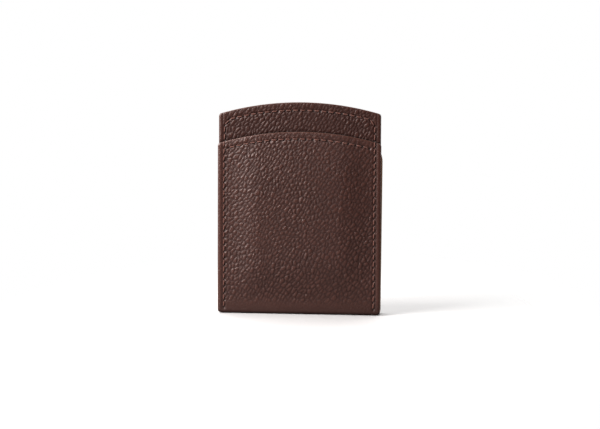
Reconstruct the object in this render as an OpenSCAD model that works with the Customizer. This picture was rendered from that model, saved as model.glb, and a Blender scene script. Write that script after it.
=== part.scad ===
// Fold-over pocket wallet of pebbled leather.
// One outer strip makes the card pocket, the flat spine that it stands on and the flap behind.
// A taller, stiffened centre panel with an arched top is stitched behind the card pocket.
// X runs across the wallet, Y from the pocket's face back to the flap, and Z up.
// The origin is the middle of the spine's flat underside.

/* [Overall size] */
// Width of the outer strip
body_w = 74.4; // [60:0.1:96]
// Height of the centre panel at the middle of its arched top
panel_h = 96.5; // [80:0.1:124]
// How much lower each arch is at its ends than at its middle
arch_rise = 5.4; // [2:0.1:12]
// How far the pocket's mouth lies below the top of the centre panel
mouth_drop = 13.4; // [8:0.1:25]
// Depth of the base, from the pocket's face to the flap's face
spine_depth = 11; // [9:0.1:14]
// How much narrower the centre panel is than the strip, at each side
panel_side_step = 0.27; // [0:0.01:1.5]
// Radius of the centre panel's and the pocket's upper corners
corner_r = 1.5; // [0.5:0.1:8]
// Radius of the flap's upper corners
flap_corner_r = 10; // [2:0.1:16]
// Angle at which the flap leans back when the wallet stands
flap_lean = 8; // [4:0.5:14]

/* [Leather and board] */
// Thickness of the outer strip
strip_t = 1.2; // [0.8:0.05:1.5]
// Outer radius of the two creases where the strip turns up from the spine
crease_r = 1.6; // [1.55:0.05:2.2]
// How far the underside of a crease is pressed flat where it meets the table
crease_press = 0.06; // [0.04:0.01:0.1]
// Thickness of the lining inside the card pocket
pocket_lining_t = 0.4; // [0.3:0.05:0.7]
// Thickness of the leather on the front of the centre panel
panel_leather_t = 1.1; // [0.8:0.05:1.5]
// Thickness of the board inside the centre panel
panel_board_t = 1.0; // [0.6:0.05:1.3]
// Thickness of the lining on the back of the centre panel
panel_lining_t = 0.8; // [0.4:0.05:1.2]
// Thickness of the board inside the flap
flap_board_t = 1.0; // [0.6:0.05:1.3]
// Thickness of the lining on the inside of the flap
flap_lining_t = 0.6; // [0.4:0.05:1.2]
// Thickness of the lining on top of the spine
spine_lining_t = 0.5; // [0.3:0.05:0.6]
// Height above the table at which the layers behind the strip begin
layer_start = 2.4; // [2.2:0.05:3.5]

/* [Swell of the card pocket] */
// How far the face of the pocket stands out in front of its edges
swell = 1.3; // [0.6:0.05:2.5]
// How far the face of the pocket still stands out at its mouth
mouth_swell = 0.6; // [0.3:0.05:1.2]
// Width of the flat margin at each side, which holds the side seam
swell_margin = 4.4; // [3.5:0.1:8]
// Width of the slope from the margin up to the full swell
swell_slope = 9; // [5:0.5:14]
// Height at which the swell begins above the table
swell_start = 4; // [3:0.5:8]
// Height of the full swell's upper end above the table
swell_top = 60; // [40:1:64]

/* [Closing magnets] */
// Diameter of each magnet disc
magnet_d = 12; // [8:0.5:16]
// Clearance round a magnet in its board
magnet_clearance = 0.1; // [0.05:0.05:0.3]
// Distance between the two magnets of a pair
magnet_spacing = 40; // [24:1:46]
// Height of the magnets above the table when the flap is closed
magnet_z = 66; // [40:1:66]

/* [Seams] */
// Length of one stitch, from needle hole to needle hole
stitch_pitch = 3.175; // [2:0.025:5]
// Length of thread that dips into the needle holes, per stitch
stitch_dip = 0.8; // [0.4:0.1:1.4]
// Thickness of the thread
thread_d = 0.6; // [0.3:0.05:0.9]
// How far the thread stands up from the leather
thread_proud = 0.25; // [0.1:0.05:0.28]
// Distance from each side edge, and from the flap's top edge, to the seam beside it
side_seam_inset = 3; // [1.8:0.1:3.8]
// Distance from the centre panel's arched edge to its seam
arch_seam_inset = 3.7; // [1.8:0.1:4.5]
// Distance from the pocket's mouth to the seam below it
mouth_seam_inset = 3.3; // [1.8:0.1:4.5]
// Needle holes in the side seams stay above this height over the table
seam_start = 2.6; // [2.6:0.1:8]

/* [Hidden] */

leather_brown = [0.30, 0.21, 0.19];
lining_tan = [0.62, 0.47, 0.33];
board_grey = [0.55, 0.50, 0.44];
magnet_steel = [0.75, 0.76, 0.78];
thread_red = [0.45, 0.27, 0.22];

// Layers of the card section, each y at the layer's front face
front_y = -spine_depth / 2;
pocket_lining_y = front_y + strip_t;
panel_leather_y = pocket_lining_y + pocket_lining_t;
panel_board_y = panel_leather_y + panel_leather_t;
panel_lining_y = panel_board_y + panel_board_t;
panel_back_y = panel_lining_y + panel_lining_t;

// Layers of the flap while it stands parallel to the centre panel
rear_y = spine_depth / 2;
flap_leather_y = rear_y - strip_t;
flap_board_y = flap_leather_y - flap_board_t;
flap_lining_y = flap_board_y - flap_lining_t;

panel_w = body_w - 2 * panel_side_step;
pocket_h = panel_h - mouth_drop;
arch_r = (pow(body_w / 2, 2) + pow(arch_rise, 2)) / (2 * arch_rise);
crease_inner_r = crease_r - strip_t;
crease_top = crease_r - crease_press;
side_seam_x = body_w / 2 - side_seam_inset;

// Each crease is cut along a line through the bottom edge that it opens about.
// The flap's side of the cut stands back, so that the flap can close a little past parallel.
mitre_angle = 45;
flap_mitre_angle = mitre_angle + 3;

// Gap between the mouth's row and each side's row, in stitches
mouth_seam_gap = 0.7;

arch_fn = 360;
round_fn = 64;
thread_fn = 16;
past = 1;

// ---- Flat shapes ----

// Height at a place x of the arch of radius r that belongs to a plate of height h.
function arch_z(x, h, r) = h - arch_r + sqrt(r * r - x * x);

// Centre of the rounding of the right upper corner.
function corner_centre(w, h, r) = [w / 2 - r, arch_z(w / 2 - r, h, arch_r - r)];

// A plate's outline: upright sides and an arched top, with round upper corners.
module arched_outline(w, h, r) {
    c = corner_centre(w, h, r);
    big_z = h - arch_r;
    fan = 2 * (c - [0, big_z]);
    union() {
        translate([-w / 2, 0])
            square([w, c[1]]);
        intersection() {
            translate([0, big_z])
                circle(r = arch_r, $fn = arch_fn);
            polygon([[0, big_z], [fan[0], big_z + fan[1]], [-fan[0], big_z + fan[1]]]);
            translate([-w / 2, 0])
                square([w, h]);
        }
        for (side = [-1, 1])
            translate([side * c[0], c[1]])
                circle(r = r, $fn = round_fn);
    }
}

// The same outline without what lies below the height z.
module outline_above(w, h, r, z) {
    intersection() {
        arched_outline(w, h, r);
        translate([-w / 2, z])
            square([w, h]);
    }
}

// A plate t thick with its front face at y.
module plate(y, t) {
    translate([0, y + t, 0])
        rotate([90, 0, 0])
            linear_extrude(t)
                children();
}

// A Y-Z profile carried across the wallet's width.
module across(w) {
    translate([-w / 2, 0, 0])
        rotate([90, 0, 90])
            linear_extrude(w)
                children();
}

// ---- The two creases, drawn for the front one in Y-Z ----

// The quarter ring of leather between an upright face at y = 0 and the table, which cuts its underside
// off flat.
module crease_ring() {
    intersection() {
        translate([crease_r, crease_top])
            difference() {
                circle(r = crease_r, $fn = round_fn);
                circle(r = crease_inner_r, $fn = round_fn);
            }
        square([crease_r, crease_top]);
    }
}

// The part of the crease above a line that leaves the bottom edge at an angle.
module crease_above(angle) {
    reach = 3 * crease_r;
    intersection() {
        crease_ring();
        polygon([[0, 0], [reach * cos(angle), reach * sin(angle)], [0, reach]]);
    }
}

module crease_below(angle) {
    reach = 3 * crease_r;
    intersection() {
        crease_ring();
        polygon([[0, 0], [reach, 0], [reach * cos(angle), reach * sin(angle)]]);
    }
}

// ---- The pocket's swollen face ----

// How far the pocket's face stands out at a place on it.
function slope_across(x) = min(1, max(0, (body_w / 2 - swell_margin - abs(x)) / swell_slope)) * swell;
function slope_up(z) = z < swell_top
    ? min(1, max(0, (z - swell_start) / swell_slope)) * swell
    : swell - (swell - mouth_swell) * (z - swell_top) / (pocket_h - swell_top);
function swell_at(x, z) = min(slope_across(x), slope_up(z));

// The room that the swell adds in front of the plane y.
module swell_room(y) {
    side_x = body_w / 2 - swell_margin;
    over = swell * past / swell_slope;
    intersection() {
        plate(y - swell - past, swell + 2 * past)
            arched_outline(body_w, pocket_h, corner_r);
        linear_extrude(panel_h)
            polygon([
                [-side_x - past, y + over], [-side_x + swell_slope, y - swell],
                [side_x - swell_slope, y - swell], [side_x + past, y + over]
            ]);
        across(body_w)
            polygon([
                [y + over, swell_start - past], [y - swell, swell_start + swell_slope],
                [y - swell, swell_top], [y - mouth_swell, pocket_h],
                [y - mouth_swell, panel_h], [y + over, panel_h]
            ]);
    }
}

// A sheet t thick that lies on the plane y at its margins and stands out with the swell.
module swollen_sheet(y, t, bottom) {
    difference() {
        union() {
            plate(y, t)
                outline_above(body_w, pocket_h, corner_r, bottom);
            swell_room(y);
        }
        swell_room(y + t);
    }
}

// ---- Seams ----

// Needle holes down one upright side, a stitch apart.
function side_holes(x, top) =
    [for (z = [top : -stitch_pitch : seam_start]) [x, z]];

// Needle holes down from one height to another, with the stitches made to fit.
function fitted_holes(x, top, bottom) =
    let (n = max(1, round((top - bottom) / stitch_pitch)))
    [for (i = [0 : n - 1]) [x, top - (top - bottom) * i / n]];

// Needle holes along an arch seam, an inset below the top of a plate of height h, from left to right.
function arch_holes(half_x, h, inset) =
    let (
        r = arch_r - inset,
        reach = asin(half_x / r),
        n = round(2 * reach * PI * r / 180 / stitch_pitch)
    )
    [for (i = [0 : n]) let (a = reach * (2 * i / n - 1)) [r * sin(a), h - arch_r + r * cos(a)]];

// A row down the right side, turned into the whole row up the left side, over the arch and down.
function both_sides(right, arch) =
    concat([for (i = [len(right) - 1 : -1 : 0]) [-right[i][0], right[i][1]]], arch, right);

// The centre panel's row turns each upper corner with one slanted stitch.
// A needle hole falls just above the pocket's mouth, so no stitch bridges the step there.
function panel_row() =
    let (
        x = side_seam_x,
        turn = stitch_pitch * sqrt(0.5),
        top = arch_z(x, panel_h, arch_r - arch_seam_inset) - turn
    )
    both_sides(
        concat(fitted_holes(x, top, mouth_hole_z), side_holes(x, mouth_hole_z)),
        arch_holes(x - turn, panel_h, arch_seam_inset)
    );

// The flap's row follows its rounder corners.
function flap_row() =
    let (
        c = corner_centre(body_w, pocket_h, flap_corner_r),
        bend = max(0.01, flap_corner_r - side_seam_inset),
        lean = asin(c[0] / (arch_r - flap_corner_r)),
        n = max(1, round(bend * (90 - lean) * PI / 180 / stitch_pitch)),
        corner = [
            for (i = [1 : 1 : n - 1])
                let (a = lean + (90 - lean) * i / n)
                c + bend * [sin(a), cos(a)]
        ]
    )
    both_sides(
        concat(corner, side_holes(side_seam_x, c[1])),
        arch_holes(c[0] + bend * sin(lean), pocket_h, side_seam_inset)
    );

// One stitch lying on a face that looks towards -Y at height y.
module stitch(a, b, y) {
    run = b - a;
    length = norm(run) - stitch_dip;
    translate([(a[0] + b[0]) / 2, y + thread_d / 2 - thread_proud, (a[1] + b[1]) / 2])
        rotate([0, atan2(run[0], run[1]), 0])
            cylinder(d = thread_d, h = length, center = true, $fn = thread_fn);
}

// Height of the needle hole just above the pocket's mouth in each side seam.
mouth_hole_z = arch_z(side_seam_x, pocket_h, arch_r) + stitch_dip / 2;
panel_holes = panel_row();
flap_holes = flap_row();
mouth_holes = arch_holes(side_seam_x - stitch_pitch * mouth_seam_gap, pocket_h, mouth_seam_inset);

// ---- Card section ----

module pocket_leather() {
    color(leather_brown)
        union() {
            swollen_sheet(front_y, strip_t, crease_top);
            across(body_w)
                translate([front_y, 0])
                    crease_above(mitre_angle);
        }
}

module pocket_lining() {
    color(lining_tan)
        swollen_sheet(pocket_lining_y, pocket_lining_t, layer_start);
}

module mouth_thread() {
    color(thread_red)
        for (i = [1 : len(mouth_holes) - 1]) {
            a = mouth_holes[i - 1];
            b = mouth_holes[i];
            stitch(a, b, front_y - swell_at((a[0] + b[0]) / 2, (a[1] + b[1]) / 2));
        }
}

module panel_plate(y, t) {
    plate(y, t)
        outline_above(panel_w, panel_h, corner_r, layer_start);
}

// The board is drilled through for a pair of magnets.
module drilled(y, t) {
    difference() {
        children();
        for (side = [-1, 1])
            magnet_place(side, y - past)
                cylinder(d = magnet_d + 2 * magnet_clearance, h = t + 2 * past, $fn = round_fn);
    }
}

module magnet_place(side, y) {
    translate([side * magnet_spacing / 2, y, magnet_z])
        rotate([-90, 0, 0])
            children();
}

module magnet(side, y, t) {
    color(magnet_steel)
        magnet_place(side, y)
            cylinder(d = magnet_d, h = t, $fn = round_fn);
}

module panel_leather() {
    color(leather_brown)
        panel_plate(panel_leather_y, panel_leather_t);
}

module panel_board() {
    color(board_grey)
        drilled(panel_board_y, panel_board_t)
            panel_plate(panel_board_y, panel_board_t);
}

module panel_magnet_left() {
    magnet(-1, panel_board_y, panel_board_t);
}

module panel_magnet_right() {
    magnet(1, panel_board_y, panel_board_t);
}

module panel_lining() {
    color(lining_tan)
        panel_plate(panel_lining_y, panel_lining_t);
}

module panel_thread() {
    color(thread_red)
        for (i = [1 : len(panel_holes) - 1]) {
            a = panel_holes[i - 1];
            b = panel_holes[i];
            stitch(a, b, max(a[1], b[1]) > mouth_hole_z ? panel_leather_y : front_y);
        }
}

// The lower thread of the same seam shows on the lining.
module panel_under_thread() {
    color(thread_red)
        mirror([0, 1, 0])
            for (i = [1 : len(panel_holes) - 1])
                stitch(panel_holes[i - 1], panel_holes[i], -panel_back_y);
}

// ---- Spine ----

module spine_leather() {
    color(leather_brown)
        across(body_w)
            union() {
                translate([front_y + crease_r, 0])
                    square([spine_depth - 2 * crease_r, strip_t]);
                for (side = [0, 1])
                    mirror([side, 0])
                        translate([front_y, 0])
                            crease_below(mitre_angle);
            }
}

module spine_lining() {
    lining_depth = spine_depth - 2 * (crease_r + thread_proud);
    color(lining_tan)
        across(body_w)
            translate([-lining_depth / 2, strip_t])
                square([lining_depth, spine_lining_t]);
}

// ---- Flap ----

// Turns what is drawn parallel to the centre panel back about the rear bottom edge.
module leaning() {
    translate([0, rear_y, 0])
        rotate([-flap_lean, 0, 0])
            translate([0, -rear_y, 0])
                children();
}

module flap_plate(y, t, bottom) {
    plate(y, t)
        outline_above(body_w, pocket_h, flap_corner_r, bottom);
}

module flap_leather() {
    color(leather_brown)
        leaning()
            union() {
                flap_plate(flap_leather_y, strip_t, crease_top);
                across(body_w)
                    mirror([1, 0])
                        translate([-rear_y, 0])
                            crease_above(flap_mitre_angle);
            }
}

module flap_board() {
    color(board_grey)
        leaning()
            drilled(flap_board_y, flap_board_t)
                flap_plate(flap_board_y, flap_board_t, layer_start);
}

module flap_magnet_left() {
    leaning()
        magnet(-1, flap_board_y, flap_board_t);
}

module flap_magnet_right() {
    leaning()
        magnet(1, flap_board_y, flap_board_t);
}

module flap_lining() {
    color(lining_tan)
        leaning()
            flap_plate(flap_lining_y, flap_lining_t, layer_start);
}

module flap_thread() {
    color(thread_red)
        leaning()
            mirror([0, 1, 0])
                for (i = [1 : len(flap_holes) - 1])
                    stitch(flap_holes[i - 1], flap_holes[i], -rear_y);
}

module flap_under_thread() {
    color(thread_red)
        leaning()
            for (i = [1 : len(flap_holes) - 1])
                stitch(flap_holes[i - 1], flap_holes[i], flap_lining_y);
}

pocket_leather();
pocket_lining();
mouth_thread();
panel_leather();
panel_board();
panel_magnet_left();
panel_magnet_right();
panel_lining();
panel_thread();
panel_under_thread();
spine_leather();
spine_lining();
flap_leather();
flap_board();
flap_magnet_left();
flap_magnet_right();
flap_lining();
flap_thread();
flap_under_thread();
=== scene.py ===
"""A fold-over pocket wallet of pebbled leather, standing on its spine.

One outer strip of leather makes the card pocket, the spine and the flap. The stiffened centre panel is
stitched behind the pocket. Shapes are worked out in millimetres and built in metres.
"""

import math
from functools import partial

import bpy
import numpy as np
from mathutils import Matrix, Vector


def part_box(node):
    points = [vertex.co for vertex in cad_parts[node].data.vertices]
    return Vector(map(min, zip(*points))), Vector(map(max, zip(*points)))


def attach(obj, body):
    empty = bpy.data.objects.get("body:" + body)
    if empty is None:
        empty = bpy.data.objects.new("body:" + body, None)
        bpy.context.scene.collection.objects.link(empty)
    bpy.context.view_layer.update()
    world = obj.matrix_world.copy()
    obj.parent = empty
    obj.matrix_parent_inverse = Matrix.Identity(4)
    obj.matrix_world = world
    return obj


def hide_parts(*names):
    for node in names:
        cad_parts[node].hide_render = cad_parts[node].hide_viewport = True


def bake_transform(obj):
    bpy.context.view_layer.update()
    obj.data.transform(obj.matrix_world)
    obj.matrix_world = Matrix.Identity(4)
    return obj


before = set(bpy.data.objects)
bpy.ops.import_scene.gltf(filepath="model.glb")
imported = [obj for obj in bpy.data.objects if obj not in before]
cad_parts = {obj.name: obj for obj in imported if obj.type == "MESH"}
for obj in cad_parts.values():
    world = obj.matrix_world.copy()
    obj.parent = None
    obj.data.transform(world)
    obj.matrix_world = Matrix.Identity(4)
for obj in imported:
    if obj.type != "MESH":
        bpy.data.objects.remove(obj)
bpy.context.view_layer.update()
MM = 0.001

# ---- Camera ----
CAMERA_YAW = math.radians(5.55)
CAMERA_RISE = math.radians(3.6)
CAMERA_ROLL = math.radians(0.3)
CAMERA_AWAY = 0.585
CAMERA_LENS = 76.6
CAMERA_AIM = Vector((0.0001, 0.0, 0.0453))


def stand_camera():
    """A long lens in front of the wallet, a little to its right and above it."""
    data = bpy.data.cameras.new("camera")
    data.lens = CAMERA_LENS
    data.sensor_width = 36.0
    data.clip_start = 0.01
    camera = bpy.data.objects.new("camera", data)
    away = Vector(
        (
            math.sin(CAMERA_YAW) * math.cos(CAMERA_RISE),
            -math.cos(CAMERA_YAW) * math.cos(CAMERA_RISE),
            math.sin(CAMERA_RISE),
        )
    )
    camera.location = CAMERA_AIM + away * CAMERA_AWAY
    turn = (-away).to_track_quat("-Z", "Y").to_matrix().to_4x4()
    camera.matrix_world = (
        Matrix.Translation(camera.location) @ turn @ Matrix.Rotation(CAMERA_ROLL, 4, "Z")
    )
    bpy.context.collection.objects.link(camera)
    bpy.context.scene.camera = camera


stand_camera()


# ---- Sizes in millimetres ----
def box_mm(node):
    low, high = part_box(node)
    return np.array(low) / MM, np.array(high) / MM


ARCH_RISE = 5.4
CORNER_R = 1.5
FLAP_CORNER_R = 10.0
STRIP_T = 1.2
CREASE_R = 1.6
CREASE_TUCK = 0.8
CLOTH_T = 0.4
LAYER_START = 2.4
SWELL = 1.3
MOUTH_SWELL = 0.6
SWELL_MARGIN = 4.4
SWELL_SLOPE = 9.0
SWELL_START = 4.0
SWELL_TOP = 60.0
PITCH = 3.175
STITCH_DIP = 0.8
THREAD_R = 0.3
THREAD_PROUD = 0.25
SIDE_SEAM = 3.0
ARCH_SEAM = 3.7
MOUTH_SEAM = 3.3
SEAM_START = 2.6

panel_low, panel_high = box_mm("panel_leather")
HALF_W = box_mm("spine_leather")[1][0]
PANEL_HALF_W = panel_high[0]
PANEL_H = panel_high[2]
POCKET_H = box_mm("pocket_leather")[1][2]
FRONT_Y = panel_low[1] - CLOTH_T - STRIP_T
REAR_Y = -FRONT_Y
ARCH_R = (HALF_W**2 + ARCH_RISE**2) / (2 * ARCH_RISE)
FLAP_LEAN = math.asin((box_mm("flap_leather")[1][1] - REAR_Y) / POCKET_H)


# ---- Chance, always the same ----
def scramble(i, j, seed):
    """A number from 0 to 1 for each whole place (i, j)."""
    n = (i.astype(np.int64) * 374761393 + j.astype(np.int64) * 668265263 + seed * 974634777) & 0xFFFFFFFF
    n = ((n ^ (n >> 13)) * 1274126177) & 0xFFFFFFFF
    n = ((n ^ (n >> 15)) * 668265263) & 0xFFFFFFFF
    return ((n ^ (n >> 16)) & 0xFFFFFF) / 0xFFFFFF


def clouds(x, z, size, seed):
    """Soft random hills from -1 to 1, about size apart."""
    u, w = x / size, z / size
    i, j = np.floor(u), np.floor(w)
    fu, fw = u - i, w - j
    fu, fw = fu * fu * (3 - 2 * fu), fw * fw * (3 - 2 * fw)
    a, b = scramble(i, j, seed), scramble(i + 1, j, seed)
    c, d = scramble(i, j + 1, seed), scramble(i + 1, j + 1, seed)
    return 2 * (a + (b - a) * fu + (c - a) * fw + (a - b - c + d) * fu * fw) - 1


def ease(t):
    t = np.clip(t, 0, 1)
    return t * t * (3 - 2 * t)


# ---- Leather grain ----
FAR = 99.0
PEBBLE = 1.55
PEBBLE_STRETCH = 1.7
PEBBLE_LEAN = math.radians(57)
PEBBLE_DEEP = 0.37
PEBBLE_JITTER = 0.72
# How far the pattern drifts over a few pebbles, and over many.
DRIFT_NEAR = 0.28
DRIFT_FAR = 0.9
DOME_WIDE = 0.66
DOME_FLAT = 2.3
LOWEST_PEBBLE = 0.62
# Smaller folds that run across the pebbles.
FOLD_SCALE = 1.9
FOLD_WIDE = 0.45
FOLD_DEEP = 0.12


def pebbles(x, s, seed):
    """How far inside its pebble each place is, from 0 in a crease, and each pebble's random number."""
    wx = x + DRIFT_NEAR * clouds(x, s, 2.3, seed + 1) + DRIFT_FAR * clouds(x, s, 11.0, seed + 2)
    ws = s + DRIFT_NEAR * clouds(x, s, 2.1, seed + 3) + DRIFT_FAR * clouds(x, s, 12.0, seed + 4)
    c, d = math.cos(PEBBLE_LEAN), math.sin(PEBBLE_LEAN)
    u = (wx * c + ws * d) / (PEBBLE * PEBBLE_STRETCH)
    w = (ws * c - wx * d) / PEBBLE
    i, j = np.floor(u), np.floor(w)
    first = np.full(x.shape, FAR)
    second = np.full(x.shape, FAR)
    number = np.zeros(x.shape)
    for di in (-1, 0, 1):
        for dj in (-1, 0, 1):
            ci, cj = i + di, j + dj
            cu = ci + 0.5 + PEBBLE_JITTER * (scramble(ci, cj, seed) - 0.5)
            cw = cj + 0.5 + PEBBLE_JITTER * (scramble(ci, cj, seed + 7) - 0.5)
            away = np.hypot(cu - u, cw - w)
            nearer = away < first
            second = np.where(nearer, first, np.minimum(second, away))
            number = np.where(nearer, scramble(ci, cj, seed + 11), number)
            first = np.where(nearer, away, first)
    return second - first, number


def grain(x, s, seed):
    """The height of pebbled leather at each place, from 0 in a deep crease to 1 on a high pebble."""
    inside, number = pebbles(x, s, seed)
    dome = 1 - (1 - np.clip(inside / DOME_WIDE, 0, 1)) ** DOME_FLAT
    small = pebbles(x * FOLD_SCALE + 31, s * FOLD_SCALE - 17, seed + 23)[0]
    folds = 1 - (1 - np.clip(small / FOLD_WIDE, 0, 1)) ** 2
    return dome * (LOWEST_PEBBLE + (1 - LOWEST_PEBBLE) * number) * (1 - FOLD_DEEP + FOLD_DEEP * folds)


# ---- Outlines ----
class Outline:
    """An upright panel: straight sides, an arched top and rounded upper corners."""

    def __init__(self, half, height, corner):
        self.half, self.height, self.corner = half, height, corner
        self.middle = height - ARCH_R
        self.corner_x = half - corner
        self.corner_z = self.middle + math.sqrt((ARCH_R - corner) ** 2 - self.corner_x**2)
        self.turn = math.asin(self.corner_x / (ARCH_R - corner))

    def top(self, x):
        """Height of the upper edge at x."""
        arch = self.middle + np.sqrt(ARCH_R**2 - x**2)
        past = np.clip(np.abs(x) - self.corner_x, 0, self.corner)
        round_top = self.corner_z + np.sqrt(np.maximum(self.corner**2 - past**2, 0))
        return np.where(np.abs(x) > ARCH_R * math.sin(self.turn), round_top, arch)

    def inset(self, x, z):
        """Distance inwards from the edge."""
        side = self.half - np.abs(x)
        arch = ARCH_R - np.hypot(x, z - self.middle)
        dx, dz = np.abs(x) - self.corner_x, z - self.corner_z
        in_corner = (dx > 0) & (dz > 0) & (dx * math.cos(self.turn) > dz * math.sin(self.turn))
        return np.maximum(np.where(in_corner, self.corner - np.hypot(dx, dz), np.minimum(side, arch)), 0)


pocket_outline = Outline(HALF_W, POCKET_H, CORNER_R)
panel_outline = Outline(PANEL_HALF_W, PANEL_H, CORNER_R)
flap_outline = Outline(HALF_W, POCKET_H, FLAP_CORNER_R)


# ---- Where things lie ----
class Plane:
    """An upright layer's plane. Depth is measured inwards from the wallet's outer face."""

    def __init__(self, side, lean):
        self.corner = np.array([0.0, side * REAR_Y, 0.0])
        self.up = np.array([0.0, side * math.sin(lean), math.cos(lean)])
        self.out = np.array([0.0, side * math.cos(lean), -math.sin(lean)])

    def place(self, x, s, depth):
        return (
            self.corner
            + x[..., None] * np.array([1.0, 0.0, 0.0])
            + s[..., None] * self.up
            - depth[..., None] * self.out
        )


class Strip:
    """The outer strip from the middle of the spine, round a crease, and up one side."""

    def __init__(self, side, lean):
        self.side, self.lean = side, lean
        self.turn = math.pi / 2 - lean
        tangent = CREASE_R * math.tan(self.turn / 2)
        self.flat = REAR_Y - tangent
        self.bend = CREASE_R * self.turn
        self.foot = self.flat + self.bend - tangent
        self.start = (0, side * self.flat * MM, 0)
        end = Plane(side, lean).corner + Plane(side, lean).up * tangent
        self.end = tuple(float(v) * MM for v in end)

    def place(self, x, s, depth):
        angle = np.clip((s - self.flat) / CREASE_R, 0, self.turn)
        rise = np.maximum(s - self.flat - self.bend, 0)
        along = np.minimum(s, self.flat) + CREASE_R * np.sin(angle) + rise * math.cos(self.turn)
        up = CREASE_R * (1 - np.cos(angle)) + rise * math.sin(self.turn)
        y = self.side * (along - depth * np.sin(angle))
        z = up + depth * np.cos(angle)
        tuck = CREASE_TUCK * np.clip(1 - z / CREASE_R, 0, 1) ** 2
        return np.stack([x * (1 - tuck / HALF_W), y, z], axis=-1)


card_plane = Plane(-1, 0.0)
flap_plane = Plane(1, FLAP_LEAN)
pocket_strip = Strip(-1, 0.0)
flap_strip = Strip(1, FLAP_LEAN)


# The face is softer than the CAD's: its swell starts nearer the seams and rises more slowly.
SWELL_OUTWARDS = 0.9
SWELL_ACROSS = SWELL_SLOPE + 7.0
SWELL_UP = SWELL_SLOPE + 11.0
SWELL_SHARE = 0.97


def pocket_swell(x, z):
    """How far the pocket's face stands out, like a pillow between its seams."""
    across = ease((HALF_W - SWELL_MARGIN + SWELL_OUTWARDS - np.abs(x)) / SWELL_ACROSS)
    up = ease((z - SWELL_START) / SWELL_UP)
    mouth = SWELL - (SWELL - MOUTH_SWELL) * ease((z - SWELL_TOP) / (POCKET_H - SWELL_TOP))
    return across * up * mouth * SWELL_SHARE


# ---- Needle holes ----
def arch_z(x, height, radius):
    return height - ARCH_R + math.sqrt(radius * radius - x * x)


def side_holes(x, top):
    """Needle holes down a side from top, one stitch apart."""
    return [(x, top - PITCH * i) for i in range(int((top - SEAM_START) / PITCH + 1e-9) + 1)]


def fitted_holes(x, top, bottom):
    """Needle holes down a side from top, in stitches that end exactly at bottom."""
    n = max(1, round((top - bottom) / PITCH))
    return [(x, top - (top - bottom) * i / n) for i in range(n)]


def arch_holes(half_x, height, inset):
    """Needle holes along an arch, from left to right."""
    radius = ARCH_R - inset
    reach = math.asin(half_x / radius)
    n = round(2 * reach * radius / PITCH)
    angles = [reach * (2 * i / n - 1) for i in range(n + 1)]
    return [(radius * math.sin(angle), height - ARCH_R + radius * math.cos(angle)) for angle in angles]


def both_sides(right, arch):
    return [(-x, z) for x, z in reversed(right)] + arch + right


SEAM_X = HALF_W - SIDE_SEAM
MOUTH_HOLE_Z = arch_z(SEAM_X, POCKET_H, ARCH_R) + STITCH_DIP / 2
# Gap between the mouth's row and each side's row, in stitches.
MOUTH_SEAM_GAP = 0.7


def panel_row():
    turn = PITCH * math.sqrt(0.5)
    top = arch_z(SEAM_X, PANEL_H, ARCH_R - ARCH_SEAM) - turn
    right = fitted_holes(SEAM_X, top, MOUTH_HOLE_Z) + side_holes(SEAM_X, MOUTH_HOLE_Z)
    return both_sides(right, arch_holes(SEAM_X - turn, PANEL_H, ARCH_SEAM))


def flap_row():
    outline = flap_outline
    bend = FLAP_CORNER_R - SIDE_SEAM
    n = max(1, round(bend * (math.pi / 2 - outline.turn) / PITCH))
    corner = []
    for i in range(1, n):
        angle = outline.turn + (math.pi / 2 - outline.turn) * i / n
        x = outline.corner_x + bend * math.sin(angle)
        corner.append((x, outline.corner_z + bend * math.cos(angle)))
    arch = arch_holes(outline.corner_x + bend * math.sin(outline.turn), POCKET_H, SIDE_SEAM)
    return both_sides(corner + side_holes(SEAM_X, outline.corner_z), arch)


panel_holes = panel_row()
flap_holes = flap_row()
mouth_holes = arch_holes(SEAM_X - PITCH * MOUTH_SEAM_GAP, POCKET_H, MOUTH_SEAM)


def from_seam(x, z, holes):
    """Distance from a row of stitches, and from its nearest needle hole. A hole is longer than wide."""
    seam = np.full(x.shape, FAR)
    hole = np.full(x.shape, FAR)
    for (ax, az), (bx, bz) in zip(holes, holes[1:]):
        dx, dz = bx - ax, bz - az
        t = np.clip(((x - ax) * dx + (z - az) * dz) / (dx * dx + dz * dz), 0, 1)
        seam = np.minimum(seam, np.hypot(x - ax - t * dx, z - az - t * dz))
    for n, (ax, az) in enumerate(holes):
        before, after = holes[max(n - 1, 0)], holes[min(n + 1, len(holes) - 1)]
        dx, dz = after[0] - before[0], after[1] - before[1]
        size = math.hypot(dx, dz)
        along = ((x - ax) * dx + (z - az) * dz) / size
        across = ((z - az) * dx - (x - ax) * dz) / size
        hole = np.minimum(hole, np.hypot(along / HOLE_LONG * HOLE_WIDE, across))
    return seam, hole


# ---- Carving the leather ----
EDGE_STEPS = (0.0, 0.04, 0.13, 0.27, 0.45, 0.65)
EDGE_BAND = EDGE_STEPS[-1]
FINE = 0.33
HOLE_WIDE = 0.42
HOLE_LONG = 0.75
# A seam's groove: its depth, its width and how dark its painted shade is.
LEATHER_GROOVE = (0.22, 0.55, 0.5)
LINING_GROOVE = (0.12, 0.6, 0.0)
# A needle hole: its depth, and how far the painted shade round it reaches.
LEATHER_HOLE = (0.42, 0.5)
LINING_HOLE = (0.3, 0.45)
# How much of the grain is left on the side margins, along the foot and round the whole edge.
MARGIN = 2.5
MARGIN_BLEND = 1.4
MARGIN_GRAIN = 0.25
FOOT = 3.0
SMOOTH_FOOT = 6.0
FOOT_GRAIN = 0.08
ROUND_GRAIN = 0.8
EDGE_SMOOTH = 0.9
# Painted shade, darker towards the foot of each sheet.
FOOT_SHADE = 0.55
PATCH_SIZE = 14.0
PATCHY = 0.22
# A creased line beside each side seam, with painted shade in it.
LINE_AT = 2.1
LINE_WIDE = 0.34
LINE_DEEP = 0.15
LINE_START = 4.0
LINE_SHADE = 0.5
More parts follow.
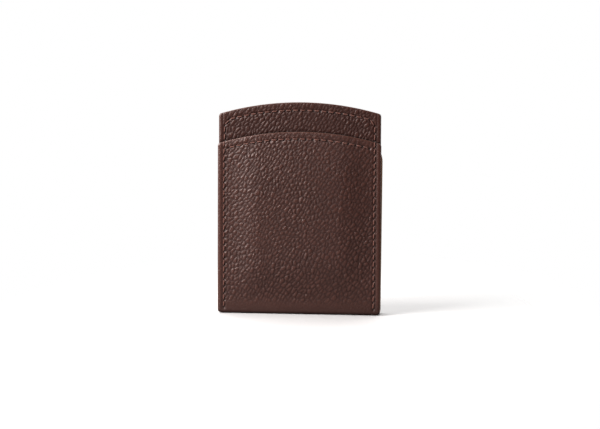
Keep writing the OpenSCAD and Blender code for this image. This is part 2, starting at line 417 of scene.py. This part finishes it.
# A dent on the centre panel along the pocket's mouth, with a painted shade line in it.
MOUTH_LINE_WIDE = 0.75
MOUTH_DENT_DEEP = 0.15
MOUTH_SHADE_DARK = 0.85
MOUTH_SHADE_DIM = 0.5
# Painted shade: the centre panel's front is darker all over.
PANEL_SHADE_HIGH = 0.8
LINING_SOFT = 0.03
LINING_PATCH = 5.0

STRIP_SEED = 5
PANEL_SEED = 61


def hill(away, width):
    """1 in the middle, and next to nothing two widths away."""
    return np.exp(-((away / width) ** 2))


def share(least, t):
    """From least, where t is 0, up to 1, where t is 1."""
    return least + (1 - least) * ease(t)


def pressed(x, z, rows, groove, hole):
    """How deep rows of stitches press into a face, and the painted shade there."""
    groove_deep, groove_wide, groove_shade = groove
    hole_deep, shade_wide = hole
    depth = np.zeros(x.shape)
    seam = np.zeros(x.shape)
    for holes in rows:
        near, nearest = from_seam(x, z, holes)
        depth = np.maximum(depth, groove_deep * hill(near, groove_wide))
        depth = np.maximum(depth, hole_deep * hill(nearest, HOLE_WIDE))
        seam = np.maximum(seam, hill(nearest, shade_wide))
        seam = np.maximum(seam, groove_shade * hill(near, groove_wide))
    return depth, seam


def carved(x, s, z, inset, rows, seed):
    """Depth cut into the leather, how light each place is (its pebble's height, with painted shade in
    creases, at the foot and in the creased line), and painted shade round the seams.
    """
    depth, seam = pressed(x, z, rows, LEATHER_GROOVE, LEATHER_HOLE)
    high = grain(x, s, seed)
    from_side = HALF_W - np.abs(x)
    fade = share(MARGIN_GRAIN, (from_side - MARGIN) / MARGIN_BLEND)
    fade = fade * share(FOOT_GRAIN, (z - FOOT) / SMOOTH_FOOT)
    fade = fade * share(ROUND_GRAIN, (inset - MARGIN) / MARGIN_BLEND)
    fade = fade * ease(inset / EDGE_SMOOTH)
    patches = 1 - PATCHY + PATCHY * clouds(x, s, PATCH_SIZE, seed + 40)
    depth = depth + PEBBLE_DEEP * fade * patches * (1 - high)
    # Where the painted shade towards the foot falls.
    foot = 1 - ease((z - 1.0) / (SMOOTH_FOOT + 2))
    line = hill(from_side - LINE_AT, LINE_WIDE) * ease(z / LINE_START)
    depth = depth + LINE_DEEP * line
    # Painted shade: darker in the creases between pebbles, towards the foot and in the creased line.
    return depth, 1 - fade * (1 - high) - FOOT_SHADE * foot - LINE_SHADE * line, seam


def behind_mouth(x, s, z, inset):
    """The centre panel's front, pressed in along the pocket's mouth with painted shade in the dent, and
    darkened all over by painted shade.
    """
    depth, high, seam = carved(x, s, z, inset, [panel_holes], PANEL_SEED)
    # Painted shade: a dark line on the panel just above the pocket's mouth.
    dent_and_shade = hill(np.maximum(z - pocket_outline.top(x), 0), MOUTH_LINE_WIDE)
    seam = np.maximum(seam, MOUTH_SHADE_DARK * dent_and_shade)
    return depth + MOUTH_DENT_DEEP * dent_and_shade, high * (PANEL_SHADE_HIGH - MOUTH_SHADE_DIM * dent_and_shade), seam


def smooth_face(x, s, z, inset, rows, seed):
    """The same three for a lining, which has no pebbles."""
    depth, seam = pressed(x, z, rows, LINING_GROOVE, LINING_HOLE)
    soft = 0.5 + 0.5 * clouds(x, s, LINING_PATCH, seed)
    return depth + LINING_SOFT * soft, soft, seam


# ---- Building meshes ----
SHARP_ANGLE = math.radians(48)
# The rows of a sheet bend up into the arch over this height.
ARCH_REACH = 55.0
# The hidden face keeps one column in this many, and its edges are rounded this much less.
BACK_EVERY = 9
BACK_EDGE = 0.6
BACK_HIGH = 0.6
BACK_GRAIN = 5


def spread(low, high, step):
    """Evenly spaced places from low to high."""
    return np.linspace(low, high, max(2, int(round((high - low) / step)) + 1))


def columns(half, step):
    """Column places from side to side, with close columns at both edges."""
    steps = np.array(EDGE_STEPS)
    middle = spread(-half + EDGE_BAND, half - EDGE_BAND, step)
    return np.concatenate([-half + steps[:-1], middle, (half - steps[:-1])[::-1]])


def kept_columns(count):
    """Columns that the hidden face shares: all those near the edges, and few between."""
    edge = len(EDGE_STEPS)
    between = range(edge, count - 1 - edge, BACK_EVERY)
    return sorted({*range(edge), *between, *range(count - edge, count)})


def rows_up(parts, top):
    """Row places from (low, high, step) parts, with close rows at the top edge."""
    runs = [spread(low, high, step)[:-1] for low, high, step in parts]
    return np.concatenate(runs + [top - np.array(EDGE_STEPS)[::-1]])


def rounding(inset, fall):
    """How far a face falls back at its rounded edge. The rounding is twice as wide as it is deep."""
    past = np.clip(1 - inset / (2 * fall), 0, 1)
    return fall * (1 - np.sqrt(1 - past**2))


def places(*axes):
    """One row of x, y and z for each point of a grid."""
    return np.stack(axes, axis=-1).reshape(-1, 3)


def grid(first, nrow, ncol, flip):
    """Faces between the points of a grid, which start at point number first."""
    r, c = np.meshgrid(np.arange(nrow - 1), np.arange(ncol - 1), indexing="ij")
    a = first + r * ncol + c
    quads = np.stack([a, a + 1, a + 1 + ncol, a + ncol], axis=-1).reshape(-1, 4)
    return (quads[:, ::-1] if flip else quads).tolist()


def closed_faces(nrow, ncol, keep):
    """Faces of a closed sheet: a fine grid, a hidden grid on the kept columns, and the rim between."""
    base, nback = nrow * ncol, len(keep)
    faces = grid(0, nrow, ncol, False) + grid(base, nrow, nback, True)
    for r in range(nrow - 1):
        a, b = r * ncol, base + r * nback
        faces.append([a, a + ncol, b + nback, b])
        a, b = a + ncol - 1, b + nback - 1
        faces.append([b, b + nback, a + ncol, a])
    for r, turned in ((0, False), (nrow - 1, True)):
        for k in range(nback - 1):
            ring = [r * ncol + c for c in range(keep[k], keep[k + 1] + 1)]
            ring = ring[::-1] + [base + r * nback + k, base + r * nback + k + 1]
            faces.append(ring[::-1] if turned else ring)
    return faces


def new_piece(name, points, faces, marks):
    """A smooth-shaded object from points in millimetres, with its marks for the finish."""
    mesh = bpy.data.meshes.new(name)
    mesh.from_pydata((points * MM).tolist(), [], faces)
    for mark, values in marks.items():
        vector = values.ndim == 2
        layer = mesh.attributes.new(mark, "FLOAT_VECTOR" if vector else "FLOAT", "POINT")
        layer.data.foreach_set("vector" if vector else "value", values.astype(np.float32).ravel())
    mesh.shade_smooth()
    mesh.set_sharp_from_angle(angle=SHARP_ANGLE)
    mesh.validate()
    mesh.update()
    piece = bpy.data.objects.new(name, mesh)
    bpy.context.collection.objects.link(piece)
    return piece


def sheet_of(name, place, outline, foot, rows, step, shown, hidden, carve, edge_r, flow=1, swell=None):
    """A closed sheet: a fine face on show, a coarser hidden face, and rounded edges between.

    Places on it are x across and s along. Height z above its foot is s - foot. shown and hidden are
    the two faces' depths. flow is 1 or -1, the way the grain runs along s."""
    xs = columns(outline.half, step)
    inward = 1.0 if hidden > shown else -1.0
    lift = ease((rows - foot - (outline.height - ARCH_REACH)) / ARCH_REACH)
    x, s = np.meshgrid(xs, rows)
    s = s + lift[:, None] * (outline.top(x) - outline.height)
    z = s - foot
    inset = outline.inset(x, z)
    depth, high, seam = carve(x, flow * s, z, inset)
    out = swell(x, z) if swell else 0 * x
    front = place(x, s, shown - out + inward * (depth + rounding(inset, edge_r)))

    keep = kept_columns(len(xs))
    bx, bs, bi, bo = x[:, keep], s[:, keep], inset[:, keep], out[:, keep]
    back = place(bx, bs, hidden - bo - inward * rounding(bi, edge_r * BACK_EDGE))
    points = np.concatenate([front.reshape(-1, 3), back.reshape(-1, 3)])
    faces = closed_faces(len(rows), len(xs), keep)
    # Which way round the faces run depends on the side that is on show.
    if (place(x[:1, :1], s[:1, :1], np.array([[0.0]]))[0, 0, 1] < 0) != (inward > 0):
        faces = [face[::-1] for face in faces]

    at_front, at_back = places(x, flow * s, 0 * x), places(bx, flow * bs, 0 * bx + BACK_GRAIN)
    # high carries the leather's tone with painted shade in it, and seam carries the painted shade round the
    # stitching.
    marks = {
        "grain_at": np.concatenate([at_front, at_back]),
        "high": np.concatenate([high.ravel(), 0 * bx.ravel() + BACK_HIGH]),
        "seam": np.concatenate([seam.ravel(), 0 * bx.ravel()]),
        "edge": np.concatenate([ease((0.5 - inset) / 0.35).ravel(), ease((0.4 - bi) / 0.3).ravel()]),
    }
    return new_piece(name, points, faces, marks)


# ---- Finishes ----
LEATHER_TOP = (0.062, 0.023, 0.017)
LEATHER_CREASE_SHADE = (0.031, 0.0092, 0.0066)
EDGE_PAINT = (0.070, 0.029, 0.021)
HOLE_SHADE = (0.006, 0.0025, 0.002)
SUEDE_TONES = (0.21, 0.118, 0.062), (0.37, 0.225, 0.13)
SUEDE_HOLE_SHADE = (0.035, 0.02, 0.013)
CLOTH_TONES = (0.03, 0.017, 0.012), (0.085, 0.052, 0.038)
THREAD_SHADED_AND_LIT = (0.012, 0.004, 0.003), (0.15, 0.046, 0.028)
BOARD_TONES = (0.2, 0.15, 0.1), (0.36, 0.29, 0.21)
NICKEL_TONES = (0.5, 0.49, 0.47), (0.66, 0.65, 0.62)
PAPER_TONES = (0.540, 0.534, 0.532), (0.560, 0.554, 0.552)
WARM_SHINE = (1.0, 0.88, 0.84, 1.0)
BRUSHED = (2500.0, 2500.0, 300.0)


class Socket:
    """A node's output that can be used in a sum."""

    def __init__(self, finish, socket):
        self.finish, self.socket = finish, socket

    def sum(self, operation, a, b):
        return self.finish.node("ShaderNodeMath", {"operation": operation}, {0: a, 1: b})

    def __add__(self, other):
        return self.sum("ADD", self, other)

    def __radd__(self, other):
        return self.sum("ADD", other, self)

    def __sub__(self, other):
        return self.sum("SUBTRACT", self, other)

    def __rsub__(self, other):
        return self.sum("SUBTRACT", other, self)

    def __mul__(self, other):
        return self.sum("MULTIPLY", self, other)


class Finish:
    """One material."""

    def __init__(self, name, **fixed):
        self.material = bpy.data.materials.new(name)
        self.material.use_nodes = True
        self.tree = self.material.node_tree
        self.shader = self.tree.nodes["Principled BSDF"]
        for word, value in fixed.items():
            self.input(word).default_value = value

    def input(self, word):
        """The shader's input that a word such as base_color names."""
        return self.shader.inputs[word.replace("_", " ").title().replace("Ior", "IOR")]

    def node(self, kind, settings, sockets, output=0):
        """A node of any kind: its settings first, then the values or links of its sockets."""
        node = self.tree.nodes.new(kind)
        for key, value in settings.items():
            setattr(node, key, value)
        for key, value in sockets.items():
            self.join(node.inputs[key], value)
        return Socket(self, node.outputs[output])

    def join(self, to, value):
        if isinstance(value, Socket):
            self.tree.links.new(value.socket, to)
        elif isinstance(value, tuple) and len(value) == 3 and to.type == "RGBA":
            to.default_value = (*value, 1.0)
        else:
            to.default_value = value

    def mark(self, name, output="Fac"):
        return self.node("ShaderNodeAttribute", {"attribute_name": name}, {}, output)

    def position(self):
        return self.node("ShaderNodeNewGeometry", {}, {}, "Position")

    def vector(self, operation, a, b=(0.0, 0.0, 0.0), output="Vector"):
        return self.node("ShaderNodeVectorMath", {"operation": operation}, {0: a, 1: b}, output)

    def noise(self, at, scale, detail=2.0, rough=0.5):
        sockets = {"Vector": at, "Scale": scale, "Detail": detail, "Roughness": rough}
        return self.node("ShaderNodeTexNoise", {}, sockets, "Fac")

    def mix(self, factor, a, b):
        return self.node("ShaderNodeMix", {"data_type": "RGBA"}, {0: factor, 6: a, 7: b}, 2)

    def shade(self, colour, amount):
        """The colour made lighter or darker by a changing amount."""
        return self.node("ShaderNodeVectorMath", {"operation": "SCALE"}, {0: colour, "Scale": amount})

    def edge_paint(self, mottle):
        return self.shade(EDGE_PAINT, 0.7 + mottle * 0.6)

    def between(self, value, low, high, to_low=0.0, to_high=1.0):
        return self.node(
            "ShaderNodeMapRange",
            {"interpolation_type": "SMOOTHSTEP"},
            {"Value": value, "From Min": low, "From Max": high, "To Min": to_low, "To Max": to_high},
        )

    def bump(self, height, millimetres, strength):
        sockets = {"Height": height, "Distance": millimetres * MM, "Strength": strength}
        return self.node("ShaderNodeBump", {}, sockets)

    def set(self, **changing):
        for word, value in changing.items():
            self.join(self.input(word), value)


def pebbled_leather(name, shine, tone, rough):
    """Leather paler on its pebbles, with painted shade in its creases, seams and needle holes and wherever
    its high mark is low, and painted on its edges.
    """
    finish = Finish(name, specular_ior_level=shine, specular_tint=WARM_SHINE)
    at = finish.mark("grain_at", "Vector")
    high, seam, edge = finish.mark("high"), finish.mark("seam"), finish.mark("edge")
    blotch = finish.noise(at, 0.07, 3.0)
    speck = finish.noise(at, 1.7, 4.0, 0.6)
    cells = {"Vector": at, "Scale": 1.15, "Randomness": 1.0}
    pores = finish.node("ShaderNodeTexVoronoi", {"feature": "DISTANCE_TO_EDGE"}, cells)
    wrinkle = finish.between(pores, 0.0, 0.16)
    tone_and_shade = finish.between(high + (speck - 0.5) * 0.35, 0.25, 0.95)
    # Painted shade: the colour darkens from the pebble tops down into the creases.
    colour = finish.mix(tone_and_shade, LEATHER_CREASE_SHADE, LEATHER_TOP)
    colour = finish.shade(colour, (0.76 + blotch * 0.38 + speck * 0.10 + wrinkle * 0.04) * tone)
    # Painted shade in the needle holes and seam grooves.
    colour = finish.mix(finish.between(seam, 0.35, 1.0), colour, HOLE_SHADE)
    paint = finish.between(edge + (speck - 0.5) * 0.5, 0.35, 0.75)
    colour = finish.mix(paint, colour, finish.edge_paint(speck))
    rough = rough - tone_and_shade * 0.13 + (speck - 0.5) * 0.12 - paint * 0.03
    fine = finish.noise(at, 5.5, 3.0)
    relief = (wrinkle * 0.5 + speck * 0.5 + fine * 0.2) * (1 - paint * 0.7)
    finish.set(base_color=colour, roughness=rough, normal=finish.bump(relief, 0.06, 0.8))
    return finish.material


def suede_lining():
    """Tan lining leather with a short nap. Only its cut edge takes a little of the edge paint."""
    finish = Finish("suede_lining", specular_ior_level=0.2, sheen_weight=0.35, sheen_roughness=0.5)
    at = finish.mark("grain_at", "Vector")
    seam, edge = finish.mark("seam"), finish.mark("edge")
    nap = finish.noise(at, 3.2, 5.0, 0.65)
    patch = finish.noise(at, 0.12, 3.0)
    colour = finish.shade(finish.mix(nap, *SUEDE_TONES), 0.75 + patch * 0.45)
    # Painted shade in the needle holes.
    colour = finish.mix(finish.between(seam, 0.3, 1.0), colour, SUEDE_HOLE_SHADE)
    paint = finish.between(edge + (nap - 0.5) * 0.2, 0.98, 1.2)
    colour = finish.mix(paint, colour, finish.edge_paint(nap))
    relief = finish.bump(nap * (1 - paint * 0.7), 0.16, 0.7)
    finish.set(base_color=colour, roughness=0.92 - paint * 0.4, normal=relief)
    return finish.material


def woven_cloth():
    finish = Finish("woven_cloth", specular_ior_level=0.2, sheen_weight=0.25)
    at = finish.mark("grain_at", "Vector")
    turn = {"Vector": at, "Scale": 1.6, "Distortion": 0.6, "Detail": 1.0}
    warp = finish.node("ShaderNodeTexWave", {"bands_direction": "X"}, turn, "Fac")
    weft = finish.node("ShaderNodeTexWave", {"bands_direction": "Y"}, turn, "Fac")
    weave = warp * 0.5 + weft * 0.5
    colour = finish.mix(weave, *CLOTH_TONES)
    finish.set(base_color=colour, roughness=0.9 - weave * 0.08, normal=finish.bump(weave, 0.1, 0.8))
    return finish.material


def waxed_thread():
    """Thread with painted shade between its plies and where it dips into the needle holes."""
    finish = Finish("waxed_thread", specular_ior_level=0.45, sheen_weight=0.15)
    at = finish.mark("grain_at", "Vector")
    high = finish.mark("high")
    fibre = finish.noise(at, 6.0, 3.0)
    colour = finish.mix(finish.between(high, 0.0, 0.8), *THREAD_SHADED_AND_LIT)
    colour = finish.shade(colour, 0.72 + fibre * 0.56)
    finish.set(base_color=colour, roughness=0.5 + fibre * 0.2, normal=finish.bump(fibre, 0.04, 0.7))
    return finish.material


def fibre_board():
    """Board glued between leathers. Its cut edge is painted like theirs."""
    finish = Finish("fibre_board", specular_ior_level=0.3)
    place = finish.position()
    facing = finish.node("ShaderNodeNewGeometry", {}, {}, "Normal")
    across = finish.node("ShaderNodeSeparateXYZ", {}, {0: facing}, 1)
    flatness = finish.node("ShaderNodeMath", {"operation": "ABSOLUTE"}, {0: across})
    face = finish.between(flatness, 0.5, 0.8)
    fibre = finish.noise(place, 1400.0, 4.0, 0.6)
    cloud = finish.noise(place, 160.0, 2.0)
    board = finish.shade(finish.mix(fibre, *BOARD_TONES), 0.8 + cloud * 0.4)
    finish.set(
        base_color=finish.mix(face, finish.edge_paint(fibre), board),
        roughness=0.5 + face * 0.35,
        normal=finish.bump(fibre + cloud, 0.08, 0.7),
    )
    return finish.material


def nickel_plate():
    finish = Finish("nickel_plate")
    place = finish.position()
    scratch = finish.noise(finish.vector("MULTIPLY", place, BRUSHED), 1.0, 3.0)
    tarnish = finish.noise(place, 220.0, 3.0)
    finish.set(
        base_color=finish.mix(tarnish, *NICKEL_TONES),
        metallic=0.92 + tarnish * 0.08,
        roughness=0.22 + scratch * 0.2,
        normal=finish.bump(scratch, 0.02, 0.5),
    )
    return finish.material


LEATHER = pebbled_leather("pebbled_leather", shine=0.55, tone=1.0, rough=0.47)
# The centre panel's front is painted darker than the strip, as shade, and has less shine.
SHADED_PANEL_LEATHER = pebbled_leather("shaded_panel_leather", shine=0.42, tone=0.92, rough=0.45)
SUEDE, CLOTH = suede_lining(), woven_cloth()
THREAD, BOARD, NICKEL = waxed_thread(), fibre_board(), nickel_plate()


def wear(piece, material, slot):
    piece.data.materials.clear()
    piece.data.materials.append(material)


# ---- The outer strip ----
EDGE_R = 0.62
FLAT_STEP = 0.45
BEND_STEP = 0.22


def crease_rows(strip):
    flat = spread(0, strip.flat, FLAT_STEP)[:-1]
    bend = spread(strip.flat, strip.flat + strip.bend, BEND_STEP)[:-1]
    return np.concatenate([flat, bend])


def strip_half(name, strip, outline, holes, flow, swell=None):
    """Half of the outer strip, from the middle of the spine round its crease."""
    top = outline.height + strip.foot
    upright = rows_up([(strip.flat + strip.bend, top - EDGE_BAND, FINE)], top)
    rows = np.concatenate([crease_rows(strip), upright])
    piece = sheet_of(
        name, strip.place, outline, strip.foot, rows, FINE, 0.0, STRIP_T,
        partial(carved, rows=holes, seed=STRIP_SEED), EDGE_R, flow=flow, swell=swell,
    )
    wear(piece, LEATHER, "pebbled_leather")
    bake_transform(piece)
    return piece


pocket = strip_half(
    "pocket_and_spine", pocket_strip, pocket_outline, [panel_holes, mouth_holes], 1,
    pocket_swell,
)
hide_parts("pocket_leather", "spine_leather")
flap = strip_half("flap_and_spine", flap_strip, flap_outline, [flap_holes], -1)
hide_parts("flap_leather", "spine_leather")


# ---- Layers behind the strip ----
FLAP_BOARD_T = 1.0
FLAP_LINING_T = 0.6
LINING_STEP = 0.62
CLOTH_STEP = 0.8
CLOTH_FROM = 60.0
# The centre panel is fine only where it shows above the pocket's mouth.
DENSE_FROM = 66.0

board_front = box_mm("panel_board")[0][1] - FRONT_Y
lining_front, lining_back = (corner[1] - FRONT_Y for corner in box_mm("panel_lining"))
PANEL_FRONT = STRIP_T + CLOTH_T
FLAP_BOARD_DEPTH = STRIP_T + FLAP_BOARD_T
FLAP_INNER = FLAP_BOARD_DEPTH + FLAP_LINING_T


def layer(name, node, body, plane, outline, parts, step, shown, hidden, carve, edge_r, finish, swell=None):
    """A flat layer of one body. finish is its material and the name of a material slot, which is not used.
    """
    rows = rows_up(parts, outline.height)
    piece = sheet_of(
        name, plane.place, outline, 0.0, rows, step, shown, hidden, carve, edge_r, swell=swell
    )
    wear(piece, *finish)
    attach(piece, body)
    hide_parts(node)


layer(
    "pocket_cloth", "pocket_lining", "card_section", card_plane, pocket_outline,
    parts=[(LAYER_START, CLOTH_FROM, 3.0), (CLOTH_FROM, POCKET_H - EDGE_BAND, CLOTH_STEP)],
    step=CLOTH_STEP, shown=STRIP_T + CLOTH_T, hidden=STRIP_T,
    carve=partial(smooth_face, rows=[mouth_holes], seed=71),
    edge_r=0.15, finish=(CLOTH, "pocket_cloth"), swell=pocket_swell,
)
layer(
    "centre_panel_front", "panel_leather", "card_section", card_plane, panel_outline,
    parts=[(LAYER_START, DENSE_FROM, 2.5), (DENSE_FROM, PANEL_H - EDGE_BAND, FINE)],
    step=FINE, shown=PANEL_FRONT, hidden=board_front, carve=behind_mouth,
    edge_r=EDGE_R, finish=(SHADED_PANEL_LEATHER, "pebbled_leather"),
)
layer(
    "centre_panel_lining", "panel_lining", "card_section", card_plane, panel_outline,
    parts=[(LAYER_START, PANEL_H - EDGE_BAND, LINING_STEP)],
    step=LINING_STEP, shown=lining_back, hidden=lining_front,
    carve=partial(smooth_face, rows=[panel_holes], seed=81),
    edge_r=0.4, finish=(SUEDE, "lining_leather"),
)
layer(
    "flap_lining_face", "flap_lining", "flap", flap_plane, flap_outline,
    parts=[(LAYER_START, POCKET_H - EDGE_BAND, LINING_STEP)],
    step=LINING_STEP, shown=FLAP_INNER, hidden=FLAP_BOARD_DEPTH,
    carve=partial(smooth_face, rows=[flap_holes], seed=91),
    edge_r=0.3, finish=(SUEDE, "lining_leather"),
)


def spine_lining_face():
    """The narrow lining that covers the inside of the spine."""
    low, high = box_mm("spine_lining")
    xs, ys = columns(high[0], 0.7), spread(low[1], high[1], 0.35)
    x, y = np.meshgrid(xs, ys)
    inset = np.minimum(high[0] - np.abs(x), high[1] - np.abs(y))
    soft = 0.5 + 0.5 * clouds(x, y, 4.0, 101)
    top = places(x, y, high[2] - LINING_SOFT * soft - rounding(inset, 0.3))
    under = places(x, y, low[2] + 0 * x)
    n, m = x.shape
    faces = grid(0, n, m, False) + grid(n * m, n, m, True)
    rim = list(range(m)) + [r * m + m - 1 for r in range(1, n)]
    rim += [(n - 1) * m + c for c in range(m - 2, -1, -1)] + [r * m for r in range(n - 2, 0, -1)]
    for a, b in zip(rim, rim[1:] + rim[:1]):
        faces.append([b, a, a + n * m, b + n * m])
    marks = {
        "grain_at": np.concatenate([places(x, y, 0 * x + 9)] * 2),
        "high": np.tile(soft.ravel(), 2),
        "seam": np.tile(0 * x.ravel(), 2),
        "edge": np.tile(ease((0.35 - inset) / 0.3).ravel(), 2),
    }
    piece = new_piece("spine_lining_face", np.concatenate([top, under]), faces, marks)
    wear(piece, SUEDE, "lining_leather")
    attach(piece, "spine")
    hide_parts("spine_lining")


spine_lining_face()


# ---- Stitching ----
ROUND, ALONG = 12, 13
PLIES = 3
# Turns of the twist, in radians to the millimetre.
TWIST = 1.86
SLANT = 0.13
# How much of the way between two needle holes a stitch covers, and how deep its ends dive.
REACH = 0.93
DIVE = 0.62
CROWN = 0.03
THIN_END = 0.18
PLY_DEEP = 0.16
# Painted shade at the ends of a stitch, where it dips into its holes.
END_SHADE = 0.85


def one_stitch(start, end, at, rng):
    """Points round one stitch, ring by ring, and how light each is: painted shade between the plies and at
    the ends.
    """
    run = np.array([end[0] - start[0], end[1] - start[1]])
    length = np.hypot(*run)
    side = np.array([-run[1], run[0]]) / length
    slant = SLANT + 0.04 * rng.standard_normal()
    fat = THREAD_R * (0.97 + 0.04 * rng.standard_normal())
    sink = 0.02 * abs(rng.standard_normal())
    turned = rng.uniform(0, 2 * math.pi)
    t = np.linspace(-1, 1, ALONG)
    t = np.sign(t) * np.abs(t) ** 0.8
    along = 0.5 + 0.5 * t * REACH
    px = start[0] + run[0] * along - side[0] * slant * t
    pz = start[1] + run[1] * along - side[1] * slant * t
    drop = ease((np.abs(t) - 0.4) / 0.6)
    height = THREAD_PROUD - THREAD_R - sink - DIVE * drop**1.5 + CROWN * (1 - t * t)
    core = at(px, pz, height)
    tangent = np.gradient(core, axis=0)
    tangent /= np.linalg.norm(tangent, axis=1)[:, None]
    out = at(px, pz, height + 1) - core
    across = np.cross(tangent, out)
    across /= np.linalg.norm(across, axis=1)[:, None]
    out = np.cross(across, tangent)
    angle = np.linspace(0, 2 * math.pi, ROUND, endpoint=False)
    bulge = np.abs(np.cos(PLIES / 2 * (angle[None, :] - TWIST * length * along[:, None] + turned)))
    radius = fat * (1 - THIN_END * drop)[:, None] * (1 - PLY_DEEP + PLY_DEEP * bulge)
    ring = (
        core[:, None, :]
        + radius[..., None] * np.cos(angle)[None, :, None] * across[:, None, :]
        + radius[..., None] * np.sin(angle)[None, :, None] * out[:, None, :]
    )
    # Painted shade between the plies and at the diving ends.
    high = bulge * (1 - END_SHADE * ease((np.abs(t) - 0.35) / 0.6))[:, None]
    return ring.reshape(-1, 3), high.ravel()


def tube_faces(first):
    """Faces of one stitch, whose points start at point number first."""
    faces = []
    for r in range(ALONG - 1):
        for c in range(ROUND):
            a, b = first + r * ROUND + c, first + r * ROUND + (c + 1) % ROUND
            faces.append([a, b, b + ROUND, a + ROUND])
    faces.append([first + c for c in range(ROUND)][::-1])
    faces.append([first + (ALONG - 1) * ROUND + c for c in range(ROUND)])
    return faces


def stitches(name, node, body, holes, at, seed):
    """A row of stitches of three-ply thread. at(x, z, out) gives a place above the leather."""
    rng = np.random.default_rng(seed)
    points, faces, fibres, ply_shades = [], [], [], []
    for start, end in zip(holes, holes[1:]):
        faces += tube_faces(len(points) * ALONG * ROUND)
        ring, high = one_stitch(start, end, at, rng)
        points.append(ring)
        ply_shades.append(high)
        fibres.append(ring + 3 * rng.random())
    marks = {"grain_at": np.concatenate(fibres), "high": np.concatenate(ply_shades)}
    piece = new_piece(name, np.concatenate(points), faces, marks)
    wear(piece, THREAD, "seam_thread")
    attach(piece, body)
    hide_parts(node)


def on_pocket(x, z, out):
    return card_plane.place(x, z, -pocket_swell(x, z) - out)


def on_panel_front(x, z, out):
    """The centre panel's front above the pocket's mouth, and the pocket's face below it."""
    above = ease((z.mean() - MOUTH_HOLE_Z) / 0.2)
    return card_plane.place(x, z, PANEL_FRONT * above - out)


def on_panel_back(x, z, out):
    return card_plane.place(x, z, lining_back + out)


def on_flap(x, z, out):
    return flap_plane.place(x, z, -out)


def in_flap(x, z, out):
    return flap_plane.place(x, z, FLAP_INNER + out)


stitches("mouth_stitches", "mouth_thread", "card_section", mouth_holes, on_pocket, 1)
stitches("panel_stitches", "panel_thread", "card_section", panel_holes, on_panel_front, 2)
stitches("panel_inside_stitches", "panel_under_thread", "card_section", panel_holes, on_panel_back, 3)
stitches("flap_stitches", "flap_thread", "flap", flap_holes, on_flap, 4)
stitches("flap_inside_stitches", "flap_under_thread", "flap", flap_holes, in_flap, 5)

# ---- Boards and magnets keep the frame's own shapes ----
for material, nodes in (
    (BOARD, ("panel_board", "flap_board")),
    (NICKEL, ("panel_magnet_left", "panel_magnet_right", "flap_magnet_left", "flap_magnet_right")),
):
    for node in nodes:
        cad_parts[node].data.materials.clear()
        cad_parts[node].data.materials.append(material)


# ---- Floor and light ----
FLOOR_HALF = 0.4
FLOOR_DROP = 0.05 * MM
# The table throws back less light than the camera sees on it, and it fades out all round.
FLOOR_BOUNCE = 0.3
FLOOR_STRETCH = (1.3, 0.6, 1.0)
FLOOR_FADE = (0.06, 0.20)
WINDOW_WHITE = (1.0, 0.97, 0.96)
ROOM_WHITE = (1, 0.985, 0.97, 1)
AIM = (0, 0, 0.05)


def add_object(name, data):
    thing = bpy.data.objects.new(name, data)
    bpy.context.collection.objects.link(thing)
    return thing


def pale_floor():
    finish = Finish("pale_floor", specular_ior_level=0.15)
    place = finish.position()
    paper = finish.mix(finish.noise(place, 30.0, 2.0), *PAPER_TONES)
    seen = finish.node("ShaderNodeLightPath", {}, {}, "Is Camera Ray")
    away = finish.vector("LENGTH", finish.vector("MULTIPLY", place, FLOOR_STRETCH), output="Value")
    finish.set(
        base_color=finish.mix(seen, finish.shade(paper, FLOOR_BOUNCE), paper),
        roughness=0.8,
        alpha=finish.between(away, *FLOOR_FADE, 1.0, 0.0),
    )
    mesh = bpy.data.meshes.new("floor")
    corners = [(-1, -1), (1, -1), (1, 1), (-1, 1)]
    mesh.from_pydata([(x * FLOOR_HALF, y * FLOOR_HALF, -FLOOR_DROP) for x, y in corners], [], [(0, 1, 2, 3)])
    mesh.materials.append(finish.material)
    add_object("floor", mesh)


def soft_light(name, place, size, watts):
    """A square light that faces the wallet."""
    data = bpy.data.lights.new(name, "AREA")
    data.shape = "RECTANGLE"
    data.size, data.size_y = size, size
    data.energy, data.color = watts, WINDOW_WHITE
    light = add_object(name, data)
    light.location = place
    light.rotation_euler = (Vector(AIM) - Vector(place)).to_track_quat("-Z", "Y").to_euler()


def white_room(strength):
    """A world that is white to the camera and lights the wallet by strength."""
    world = bpy.data.worlds.new("white_room")
    world.use_nodes = True
    tree = world.node_tree
    tree.nodes.clear()
    end = tree.nodes.new("ShaderNodeOutputWorld")
    seen = tree.nodes.new("ShaderNodeBackground")
    lit = tree.nodes.new("ShaderNodeBackground")
    mix = tree.nodes.new("ShaderNodeMixShader")
    path = tree.nodes.new("ShaderNodeLightPath")
    seen.inputs[0].default_value = (1, 1, 1, 1)
    seen.inputs[1].default_value = 1.0
    lit.inputs[0].default_value = ROOM_WHITE
    lit.inputs[1].default_value = strength
    tree.links.new(path.outputs["Is Camera Ray"], mix.inputs[0])
    tree.links.new(lit.outputs[0], mix.inputs[1])
    tree.links.new(seen.outputs[0], mix.inputs[2])
    tree.links.new(mix.outputs[0], end.inputs[0])
    bpy.context.scene.world = world


def daylight(strength, rise, turn, width):
    """Even light from a wide patch of sky, so that the floor is white all over. Angles in degrees."""
    data = bpy.data.lights.new("daylight", "SUN")
    data.energy, data.angle = strength, math.radians(width)
    rise, turn = math.radians(rise), math.radians(turn)
    towards = Vector((math.sin(turn) * math.cos(rise), math.cos(turn) * math.cos(rise), math.sin(rise)))
    add_object("daylight", data).rotation_euler = towards.to_track_quat("Z", "Y").to_euler()


pale_floor()
white_room(0.06)
daylight(strength=4.6, rise=48, turn=-15, width=84)
soft_light("left_window", (-0.44, -0.27, 0.34), size=0.42, watts=9.6)
soft_light("right_wall", (0.5, 0.03, 0.2), size=0.3, watts=1.2)
bpy.context.scene.view_settings.view_transform = "Standard"
